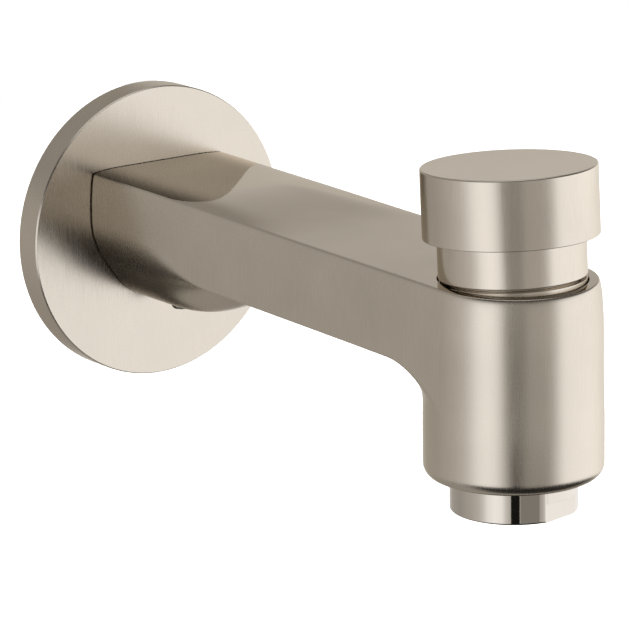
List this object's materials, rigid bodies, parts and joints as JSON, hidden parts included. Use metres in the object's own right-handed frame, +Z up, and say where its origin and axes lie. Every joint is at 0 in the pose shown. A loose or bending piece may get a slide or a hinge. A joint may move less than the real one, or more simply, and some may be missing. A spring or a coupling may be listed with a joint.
{
  "type": "wall mounted bath spout",
  "caption": "Wall mounted bath spout with a round wall flange, a flat topped arm, an upright front body, a pull-up diverter knob and an outlet ring.",
  "frame": {"origin": "centre of the wall flange's back face, on the supply tube's axis where it leaves the wall", "axes": "+Y into the wall, -Y out along the spout, +Z up, +X to the right when facing the wall"},
  "size_m": [0.0784, 0.1816, 0.0858],
  "materials": {
    "nickel": "brushed nickel plate",
    "polished_nickel": "polished nickel plate",
    "brass": "machined",
    "steel": "machined stainless",
    "rubber": "moulded",
    "foam": "closed cell foam",
    "plastic": "moulded acetal"
  },
  "bodies": {
    "spout": {"escutcheon": "nickel", "escutcheon_gasket": "foam", "spout_body": "nickel", "inlet_adapter": "brass", "inlet_o_ring_rear": "rubber", "inlet_o_ring_front": "rubber", "set_screw": "steel", "bonnet": "nickel", "bonnet_o_ring": "rubber", "stem_bush": "plastic", "valve_seat": "brass", "diverter_spring": "steel", "aerator_housing": "polished_nickel", "aerator_washer": "rubber", "aerator_insert": "plastic", "aerator_screen": "plastic"},
    "diverter": {"diverter_stem": "brass", "piston": "plastic", "piston_o_ring": "rubber", "valve_washer": "rubber", "valve_disc": "brass", "valve_nut": "brass", "knob_sleeve": "nickel", "knob_cap": "nickel", "knob_insert": "plastic", "knob_grub_screw": "steel"}
  },
  "joints": [
    {"name": "diverter_lift", "type": "slide", "parent": "spout", "child": "diverter", "axis": [0, 0.0539, 0.9985], "range_m": [0, 0.008], "stiffness_N_per_m": 150, "springref_m": -0.01, "deforming": ["diverter_spring"]}
  ]
}
